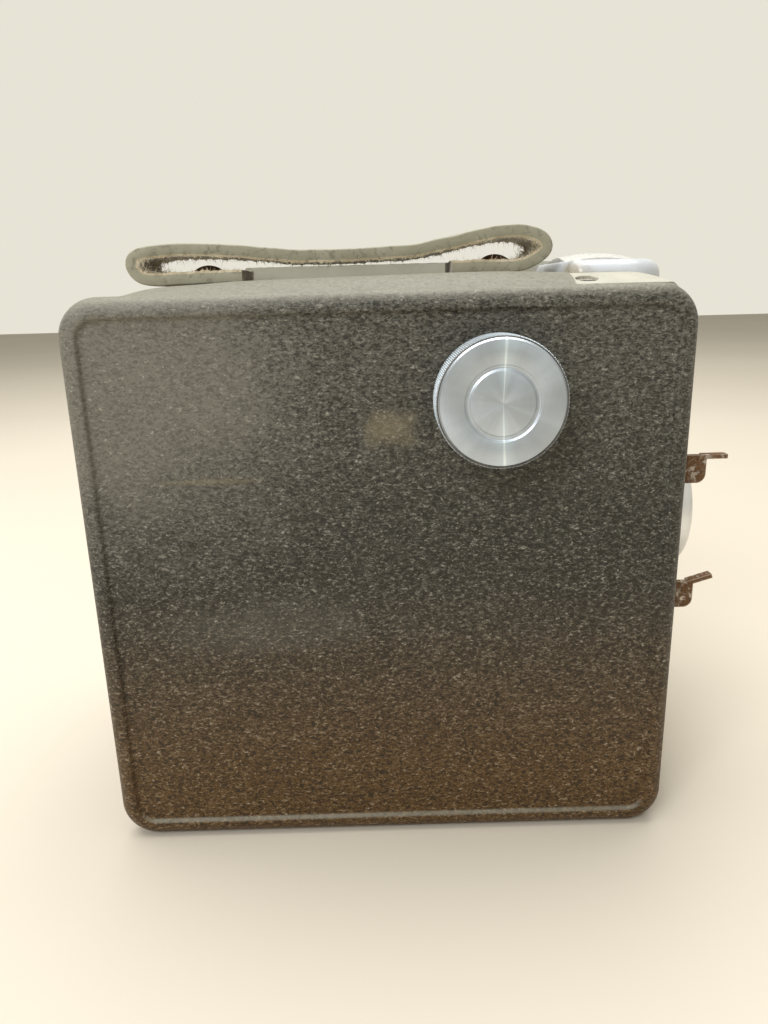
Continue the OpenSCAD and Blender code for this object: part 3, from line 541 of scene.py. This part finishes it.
def arc(cx, cy, r, start, end, steps):
    """Points round an arc, with its angles in degrees."""
    angles = np.radians(np.linspace(start, end, steps + 1))
    return [(cx + r * math.cos(a), cy + r * math.sin(a)) for a in angles]


# ---------------------------------------------------------------- side covers


def outline(inset):
    """The casing's side outline moved in by inset, as (x, z) points."""
    steps, along, least_r = 14, 10, 0.6
    r = max(CORNER_R - inset, least_r)
    x, z0, z1 = HALF_L - inset - r, inset + r, TALL - inset - r
    corners = [(x, z1, 0), (-x, z1, 90), (-x, z0, 180), (x, z0, 270)]
    points = []
    for k, (cx, cz, start) in enumerate(corners):
        points += arc(cx, cz, r, start, start + 90, steps)
        nx, nz, nstart = corners[(k + 1) % 4]
        first = arc(nx, nz, r, nstart, nstart, 1)[0]
        last = points[-1]
        for s in range(1, along):
            t = s / along
            points.append((last[0] + (first[0] - last[0]) * t, last[1] + (first[1] - last[1]) * t))
    return points


def cover_profile():
    """(inset, depth) from the inside of the field, round the rim, to the front of the field.

    Depth is measured back from the rim's highest line."""
    sheet, drop, rim = 0.8, 0.9, 3.2
    front = [(0.0, FLANGE), (0.0, rim)]
    front += [(rim - x, rim - y) for x, y in arc(0, 0, rim, 0, 90, 10)[1:]]
    front += [(rim + x, y) for x, y in ((0.3, 0.04), (0.5, 0.16), (0.66, 0.38), (0.82, 0.62), (1.0, 0.82))]
    step = rim + 1.25
    front += [(step, drop), (step + 0.5, drop), (step + 1.2, drop)]
    back = [(step + 1.2, drop + sheet), (step - 0.6, drop + sheet), (rim, sheet + 0.3)]
    back += [(rim - x, rim - y) for x, y in arc(0, 0, rim - sheet, 78, 0, 6)]
    back += [(sheet, FLANGE)]
    return back + front


def side_cover(name, side, holes):
    """A pressed cover on one side: side is -1 for the knob's side. holes are closed lists of (x, z)."""
    bm = bmesh.new()
    rows = []
    for inset, depth in cover_profile():
        rows.append([(x, side * (HALF_W - depth), z) for x, z in outline(inset)])
    verts = loft(bm, rows)
    levels = (verts[0][0].co.y, verts[-1][0].co.y)
    inner, outer = [], []
    for hole in holes:
        rings = loft(bm, [[(x, y, z) for x, z in hole] for y in levels])
        inner += loop_edges(bm, rings[0])
        outer += loop_edges(bm, rings[1])
    bmesh.ops.triangle_fill(bm, use_beauty=True, edges=loop_edges(bm, verts[0]) + inner)
    bmesh.ops.triangle_fill(bm, use_beauty=True, edges=loop_edges(bm, verts[-1]) + outer)
    bmesh.ops.recalc_face_normals(bm, faces=bm.faces)
    return new_piece(name, bm, [PAINT], "camera_body", (name,), 50)


def side_covers():
    """The knob's side has a round hole for the bush, and the other a slot for the release lever."""
    bush = middle("winder_bush")
    hole_r, steps = 6.4, 48
    side_cover("right_side_cover", -1, [arc(bush.x, bush.z, hole_r, 0, 360 - 360 / steps, steps - 1)])
    lever = middle("release_lever")
    x0, x1 = 48.1, 49.5
    z0, z1 = lever.z - 7.0, lever.z + 3.0
    side_cover("left_side_cover", 1, [[(x0, z0), (x1, z0), (x1, z1), (x0, z1)]])


# ---------------------------------------------------------------- top of the casing


def smooth_step(t):
    t = min(max(t, 0.0), 1.0)
    return t * t * (3 - 2 * t)


# The top of the raised plate along the middle, as (x, z).
PAD_LINE = [
    (-47.7, 111.2), (-45.2, 112.2), (-41, 112.85), (-33.5, 113.2), (-25, 113.6), (-10, 113.82), (5, 114.0),
    (22, 114.13), (35.9, 113.6),
]


def raised_plate():
    """The raised pressing under the strap: cambered lengthwise, with sides that fall to the covers."""
    lo, hi = low("strap_plate"), high("strap_plate")
    camber = catmull(PAD_LINE, 12)
    edge_z, shoulder, lines = 111.33, 8.8, 48
    bm = bmesh.new()
    rows = []
    for x, top in camber:
        row = []
        for j in range(lines + 1):
            y = lo.y + (hi.y - lo.y) * j / lines
            t = min((hi.y - abs(y)) / shoulder, 1.0)
            row.append((x, y, edge_z + (top - edge_z) * (1 - (1 - t) ** 2)))
        rows.append(row)
    top = loft(bm, rows, round_columns=False)
    rim = top[0] + [row[-1] for row in top[1:]] + list(reversed(top[-1][:-1]))
    rim += [row[0] for row in reversed(top[1:-1])]
    foot = [bm.verts.new((v.co.x, v.co.y, lo.z)) for v in rim]
    for k in range(len(rim)):
        n = (k + 1) % len(rim)
        bm.faces.new((rim[k], rim[n], foot[n], foot[k]))
    bm.faces.new(foot)
    bmesh.ops.recalc_face_normals(bm, faces=bm.faces)
    return new_piece("strap_plate", bm, [PAINT], "camera_body", ("strap_plate",))


def soft_plan(x0, x1, half, rear_r, front_r):
    """Points (x, y) and outward ways (x, y) round a rectangle with round corners, seen from above."""
    steps = 9
    corners = ((x1 - front_r, half - front_r, front_r, 0), (x0 + rear_r, half - rear_r, rear_r, 90),
               (x0 + rear_r, rear_r - half, rear_r, 180), (x1 - front_r, front_r - half, front_r, 270))
    found = []
    for cx, cy, r, start in corners:
        for a in np.radians(np.linspace(start, start + 90, steps + 1)):
            found.append((cx + r * math.cos(a), cy + r * math.sin(a), math.cos(a), math.sin(a)))
    return found


def finder_frame():
    """Pressed frame round the finder's glass: its top edge is rolled and its front skirt turns down."""
    lo, hi = low("finder_frame"), high("finder_frame")
    roll, skirt, floor_z = 3.0, 0.8, 112.6
    glass_lo, glass_hi = low("finder_top_lens"), high("finder_top_lens")
    plan = soft_plan(lo.x, hi.x, hi.y, 3, 8)

    def ring(inset, z):
        pulls = [inset * (1 - 0.7 * min(nx, 0) ** 2) for _, _, nx, _ in plan]
        return [(x - nx * pull, y - ny * pull, z) for (x, y, nx, ny), pull in zip(plan, pulls)]

    def opening(inset, z):
        grow, corner = 0.1 - inset, 0.3
        box = soft_plan(glass_lo.x - grow, glass_hi.x + grow, glass_hi.y + grow, corner, corner)
        return [(x, y, z) for x, y, _, _ in box]

    rows = [ring(skirt, floor_z), ring(skirt, lo.z)]
    rows += [ring(0.12, lo.z), ring(0, lo.z + 0.15), ring(0, hi.z - roll)]
    for a in np.radians(np.linspace(10, 90, 9)):
        rows.append(ring(roll * (1 - math.cos(a)), hi.z - roll + roll * math.sin(a)))
    rows += [opening(-0.12, hi.z), opening(0, hi.z - 0.12), opening(0, glass_lo.z), opening(1, glass_lo.z)]
    rows.append(opening(1, floor_z))
    bm = bmesh.new()
    loft(bm, rows, round_rows=True)
    bmesh.ops.recalc_face_normals(bm, faces=bm.faces)
    return new_piece("finder_frame", bm, [SATIN], "camera_body", ("finder_frame",), 50)


# ---------------------------------------------------------------- winding knob


def winding_knob():
    """Knob with a diamond knurl on its edge, a turned face and one ring groove."""
    teeth, per_tooth, cut = 96, 8, 0.5
    around = teeth * per_tooth
    lo, hi = low("winding_knob"), high("winding_knob")
    face, back = lo.y, hi.y
    chamfer, groove_r = 0.4, 0.53 * KNOB_R
    pitch = 2 * math.pi * KNOB_R / teeth
    # (radius, y) from the middle of the face, over the groove and out to the knurl.
    profile = [(0.25, face + 0.10), (0.7, face + 0.02), (1.0, face)]
    profile += [(groove_r - 0.62, face), (groove_r - 0.54, face + 0.03), (groove_r - 0.44, face + 0.14)]
    profile += [(groove_r - 0.22, face + 0.27), (groove_r, face + 0.31), (groove_r + 0.22, face + 0.27)]
    profile += [(groove_r + 0.44, face + 0.14), (groove_r + 0.54, face + 0.03), (groove_r + 0.62, face)]
    profile += [(KNOB_R - chamfer - 0.42, face), (KNOB_R - chamfer - 0.36, face + 0.02)]
    profile += [(KNOB_R - 0.46, face + chamfer - 0.04)]
    side_steps = int(round((back - face - 2 * chamfer) / pitch * per_tooth))
    rows = []
    angles = np.arange(around) * 2 * math.pi / around
    cos, sin = np.cos(angles), np.sin(angles)

    def ring(radius, y):
        radius = np.broadcast_to(radius, angles.shape)
        return [(KNOB.x + r * c, y, KNOB.z + r * s) for r, c, s in zip(radius, cos, sin)]

    for r, y in profile:
        rows.append(ring(r, y))
    for k in range(side_steps + 1):
        y = face + chamfer + (back - face - 2 * chamfer) * k / side_steps
        u, v = angles * teeth / (2 * math.pi), (y - face) / pitch
        cuts = [np.abs((t + 0.25) % 1.0 - 0.5) * 2 for t in (u + v, u - v)]
        depth = np.clip(1.25 * np.maximum(1 - cuts[0], 1 - cuts[1]) - 0.25, 0, 1)
        fade = smooth_step(k / 4) * smooth_step((side_steps - k) / 4)
        rows.append(ring(KNOB_R - cut * (depth * fade + 0.4 * (1 - fade)), y))
    rows += [ring(KNOB_R - 0.46, back - chamfer + 0.1), ring(KNOB_R - chamfer - 0.2, back), ring(4, back)]
    turned = len(profile)
    bm = bmesh.new()
    loft(bm, rows, caps=(True, True), pick=lambda i, j: int(turned - 1 <= i < turned + side_steps + 1))
    bmesh.ops.recalc_face_normals(bm, faces=bm.faces)
    looks = [KNOB_FACE, KNURL]
    return new_piece("winding_knob", bm, looks, "winder", ("winding_knob",), 28)


# ---------------------------------------------------------------- carrying strap


def catmull(points, steps):
    """A smooth curve through a list of (x, z) points."""
    p = [Vector(q) for q in points]
    out = []
    for i in range(len(p) - 1):
        a, b, c, d = p[max(i - 1, 0)], p[i], p[i + 1], p[min(i + 2, len(p) - 1)]
        for s in range(steps):
            t = s / steps
            cubic = (3 * b - a - 3 * c + d) * t ** 3
            out.append(0.5 * (2 * b + (c - a) * t + (2 * a - 5 * b + 4 * c - d) * t * t + cubic))
    return out + [p[-1]]


def resample(curve, spacing):
    """Even steps along a curve."""
    lengths = np.cumsum([0] + [(b - a).length for a, b in zip(curve, curve[1:])])
    count = int(lengths[-1] / spacing)
    places = np.linspace(0, lengths[-1], count + 1)
    xs = np.interp(places, lengths, [q[0] for q in curve])
    zs = np.interp(places, lengths, [q[1] for q in curve])
    return [Vector(q) for q in zip(xs, zs)]


STRAP_HALF = (high("carrying_strap").y - low("carrying_strap").y) / 2
REAR_LEG_Z = 114.81
FRONT_LEG_Z = 115.55
# The strap's middle line as (x, z), from its rear cut end over the handle to its front one.
STRAP_LINE = [
    (-28.4, REAR_LEG_Z), (-34, REAR_LEG_Z), (-41, REAR_LEG_Z - 0.15), (-46.4, REAR_LEG_Z - 0.35),
    (-50, 115.3), (-51.6, 117.7), (-50, 119.7), (-44, 120.55), (-36, 120.4), (-27, 119.75),
    (-18, 118.8), (-8, 118.65), (1, 118.87), (8, 119.2), (15.5, 120.5), (22, 121.85),
    (27.5, 122.5), (31, 122.4), (34.6, 121.1), (35.7, 118.9), (33.5, 116.8),
    (29.4, FRONT_LEG_Z), (20, FRONT_LEG_Z), (15.8, FRONT_LEG_Z),
]


def strap_section(half, thick):
    """(across, up, side) round the strap's section: side 0 is grain, 1 a cut edge and 2 flesh."""
    bevel, steps = 0.35, 14
    t = thick / 2
    grain = [(v, t, 0) for v in np.linspace(-half + bevel, half - bevel, steps)]
    near_round = [(half - bevel + bevel * math.sin(a), t - bevel + bevel * math.cos(a), 1)
                  for a in np.radians((22, 45, 68))]
    flesh = [(v, -t, 2) for v in np.linspace(half - 0.2, -half + 0.2, steps + 6)]
    near_edge = [(half, t - bevel, 1), (half, 0.1, 1), (half - 0.02, -t + 0.35, 1)]
    far_edge = [(-half + 0.02, -t + 0.35, 1), (-half, 0.1, 1), (-half, t - bevel, 1)]
    far_round = [(-v, h, 1) for v, h, _ in reversed(near_round)]
    return grain + near_round + near_edge + flesh + far_edge + far_round


def strap_frames():
    """Along the strap: place, direction and the way the grain side faces, as (x, z) vectors."""
    spacing = 0.55
    line = resample(catmull(STRAP_LINE, 14), spacing)
    frames = []
    for i, place in enumerate(line):
        way = (line[min(i + 1, len(line) - 1)] - line[max(i - 1, 0)]).normalized()
        frames.append((place, way, Vector((-way[1], way[0]))))
    return frames


def leg_share(i, count):
    """1 on the two riveted legs and 0 along the handle."""
    reach, blend = 36, 12
    from_end = min(i, count - 1 - i)
    return 1 - smooth_step((from_end - reach) / blend)


def carrying_strap():
    """Leather strap: cupped, slightly uneven, with rounded grain edges and a torn flesh side."""
    thick, wave = 2.5, 0.22
    frames = strap_frames()
    section = strap_section(STRAP_HALF, thick)
    count = len(frames)
    rows, inner = [], []
    for i, (place, _, out) in enumerate(frames):
        row = []
        flat = leg_share(i, count)
        for v, h, side in section:
            spot = Vector((place[0] * wave, v * wave, place[1] * wave))
            width = 1 + 0.012 * noise.noise(spot * 0.7)
            swell = 0.16 * noise.noise(spot + Vector((7, 3, 1)))
            cup = 0.1 * (1 - flat) * (v / STRAP_HALF) ** 2
            up = h + swell * (0 if side == 0 and flat > 0.5 else 1) - cup
            if side == 2:
                rag = noise.noise(Vector((place[0] * 1.6, v * 1.6, place[1] * 1.6)))
                edge = abs(v) / STRAP_HALF
                up -= 0.22 * rag + (0.30 * max(rag, 0) + 0.1) * smooth_step((edge - 0.8) / 0.2)
            row.append((place[0] + out[0] * up, v * width, place[1] + out[1] * up))
        rows.append(row)
        inner.append([p for p, s in zip(row, section) if s[2] == 2])
    sides = [s[2] for s in section]
    bm = bmesh.new()
    loft(bm, rows, caps=(True, True), pick=lambda i, j: max(sides[j], sides[(j + 1) % len(sides)]))
    for face in bm.faces:
        is_cut_end = len(face.verts) > 4
        if is_cut_end:
            face.material_index = 3
    bmesh.ops.recalc_face_normals(bm, faces=bm.faces)
    looks = [GRAIN_SIDE, CUT_EDGE, FLESH_SIDE, TORN_END]
    new_piece("carrying_strap", bm, looks, "camera_body", ("carrying_strap",), 60)
    return frames, inner


def fibre(bm, start, way, length, thick, curl):
    """One loose fibre: a thin three-sided spike that bends."""
    side = way.cross(Vector((0.3, 1, 0.2))).normalized()
    other = way.cross(side).normalized()
    rows = []
    for k, share in enumerate((1.0, 0.75, 0.4)):
        t = k / 3
        centre = start + way * (length * t) + curl * (t * t * length)
        rows.append([centre + (side * math.cos(a) + other * math.sin(a)) * thick * share
                     for a in (0.0, 2.1, 4.2)])
    verts = loft(bm, rows, caps=(True, False))
    tip = bm.verts.new(start + way * length + curl * length)
    ring = verts[-1]
    for k in range(3):
        bm.faces.new((ring[k], ring[(k + 1) % 3], tip))


def strap_fibres(frames, inner):
    """Torn fibres along both edges of the flesh side, thick in the loops and sparse on the handle."""
    bm = bmesh.new()
    count = len(frames)
    for i in range(2, count - 2):
        _, way, out = frames[i]
        bend = 1 - abs((frames[min(i + 6, count - 1)][1]).dot(frames[max(i - 6, 0)][1]))
        many = 6 + int(20 * min(bend * 2, 1))
        for _ in range(many):
            row = inner[i]
            near_side = RNG.random() < 0.5
            depth = int(min(RNG.expovariate(0.9), 5))
            start = Vector(row[depth if near_side else -1 - depth])
            length = min(RNG.expovariate(2.4) + 0.15, 1.7) * (1 + 0.5 * min(bend, 1))
            lean = Vector((way[0], 0, way[1])) * RNG.uniform(-0.9, 0.9)
            across = Vector((0, RNG.uniform(-0.5, 0.35) * (-1 if near_side else 1), 0))
            direction = (Vector((-out[0], 0, -out[1])) + lean + across).normalized()
            curl = Vector((RNG.uniform(-0.5, 0.5), RNG.uniform(-0.3, 0.3), RNG.uniform(-0.5, 0.5)))
            root = start + Vector((out[0], 0, out[1])) * 0.1
            fibre(bm, root, direction, length, RNG.uniform(0.03, 0.075), curl)
    new_piece("strap_fibres", bm, [FIBRE], "camera_body", (), 60)


def fibre_look():
    look = Look("leather_fibre")
    # The fibres' own tan, brightened further as painted fill light where they hang in shade.
    tone = look.mix(look.ramp(look.noise(1.2, 3), 0.35, 0.65), (0.50, 0.43, 0.29), (0.76, 0.71, 0.58))
    return look.finish(tone, roughness=0.85)


FIBRE = fibre_look()


# ---------------------------------------------------------------- CAD nodes


def soften(node, width):
    """Rounds a CAD node's sharp edges with modifiers, and leaves its own mesh alone."""
    weld = node.modifiers.new("weld", "WELD")
    weld.merge_threshold = 1e-6
    flat = node.modifiers.new("flat", "DECIMATE")
    flat.decimate_type = "DISSOLVE"
    flat.angle_limit = math.radians(0.6)
    bevel = node.modifiers.new("bevel", "BEVEL")
    bevel.width = width * MM
    bevel.segments = 2
    bevel.limit_method = "ANGLE"
    bevel.angle_limit = math.radians(38)
    smooth = node.modifiers.new("smooth", "WEIGHTED_NORMAL")
    smooth.keep_sharp = True


# How far each node's sharp edges are rounded.
SOFT_EDGES = {
    "top_deck": 0.35, "top_ledge": 0.4, "front_plate": 0.3, "back_door": 0.3, "body_wrap": 0.2,
    "close_up_lever": 0.12, "filter_lever": 0.12, "release_lever": 0.12, "latch_bracket": 0.12,
    "window_cover": 0.15, "window_guide": 0.1, "door_latch": 0.15, "bulb_slide": 0.1,
}


def dress_nodes():
    """Gives every CAD node its material by slot, and softens the sharp edges that show."""
    slots = {part["node"]: part["material_slot"] for part in frame["record"]["subparts"]}
    for name, node in NODES.items():
        node.data.materials.clear()
        node.data.materials.append(BY_NODE.get(name) or BY_SLOT[slots[name]])
    for name, width in SOFT_EDGES.items():
        soften(NODES[name], width)


# ---------------------------------------------------------------- stage, light and camera


def stage_floor():
    """A plain floor, which is no piece of the object. The stage and its lights are in metres."""
    bm = bmesh.new()
    bmesh.ops.create_grid(bm, x_segments=8, y_segments=8, size=2.5)
    mesh = bpy.data.meshes.new("floor")
    bm.to_mesh(mesh)
    bm.free()
    mesh.materials.append(floor_paper())
    floor = bpy.data.objects.new("floor", mesh)
    bpy.context.scene.collection.objects.link(floor)


def soft_light(name, place, size, power, tint):
    """A lamp that points at the middle of the object."""
    target = Vector((0, 0, 0.06))
    lamp = bpy.data.lights.new(name, "AREA")
    lamp.shape = "RECTANGLE"
    lamp.size, lamp.size_y = size
    lamp.energy = power
    lamp.color = tint
    light = bpy.data.objects.new(name, lamp)
    light.location = place
    light.rotation_euler = (target - Vector(place)).to_track_quat("-Z", "Y").to_euler()
    bpy.context.scene.collection.objects.link(light)


def lighting():
    """Two soft lamps and a pale surround, which is dimmer as light than it is to the camera."""
    world = bpy.data.worlds.new("studio")
    world.use_nodes = True
    tree = world.node_tree
    background = tree.nodes["Background"]
    background.inputs["Color"].default_value = (0.80, 0.77, 0.67, 1)
    path = tree.nodes.new("ShaderNodeLightPath")
    strength = tree.nodes.new("ShaderNodeMapRange")
    strength.inputs["To Min"].default_value = 1.0
    strength.inputs["To Max"].default_value = 0.42
    tree.links.new(path.outputs["Is Diffuse Ray"], strength.inputs["Value"])
    tree.links.new(strength.outputs["Result"], background.inputs["Strength"])
    bpy.context.scene.world = world
    soft_light("ceiling", (-0.1, 0.15, 0.95), (1.2, 0.8), 13, (1.0, 0.99, 0.96))
    soft_light("window", (-0.5, -0.85, 0.8), (0.5, 0.5), 7.5, (0.97, 0.98, 1.0))
    bpy.context.scene.view_settings.view_transform = "Standard"
    bpy.context.scene.view_settings.look = "None"


def photo_camera():
    """A short lens, close to the knob's side and level with the casing's top, tilted down."""
    pitch, roll, yaw = (math.radians(a) for a in (16.097, -1.558, 0.121))
    forward = Vector((math.sin(yaw) * math.cos(pitch), math.cos(yaw) * math.cos(pitch), -math.sin(pitch)))
    level = Vector((math.cos(yaw), -math.sin(yaw), 0))
    rise = level.cross(forward)
    right = level * math.cos(roll) + rise * math.sin(roll)
    up = rise * math.cos(roll) - level * math.sin(roll)
    lens = bpy.data.cameras.new("camera")
    lens.sensor_width = 36
    lens.lens = 27.0703125
    lens.clip_start, lens.clip_end = 0.005, 20
    camera = bpy.data.objects.new("camera", lens)
    matrix = Matrix((right, up, -forward)).transposed().to_4x4()
    matrix.translation = Vector((-0.217, -178.3, 111.306)) * MM
    camera.matrix_world = matrix
    bpy.context.scene.collection.objects.link(camera)
    bpy.context.scene.camera = camera


dress_nodes()
side_covers()
raised_plate()
finder_frame()
winding_knob()
strap_fibres(*carrying_strap())
stage_floor()
lighting()
photo_camera()
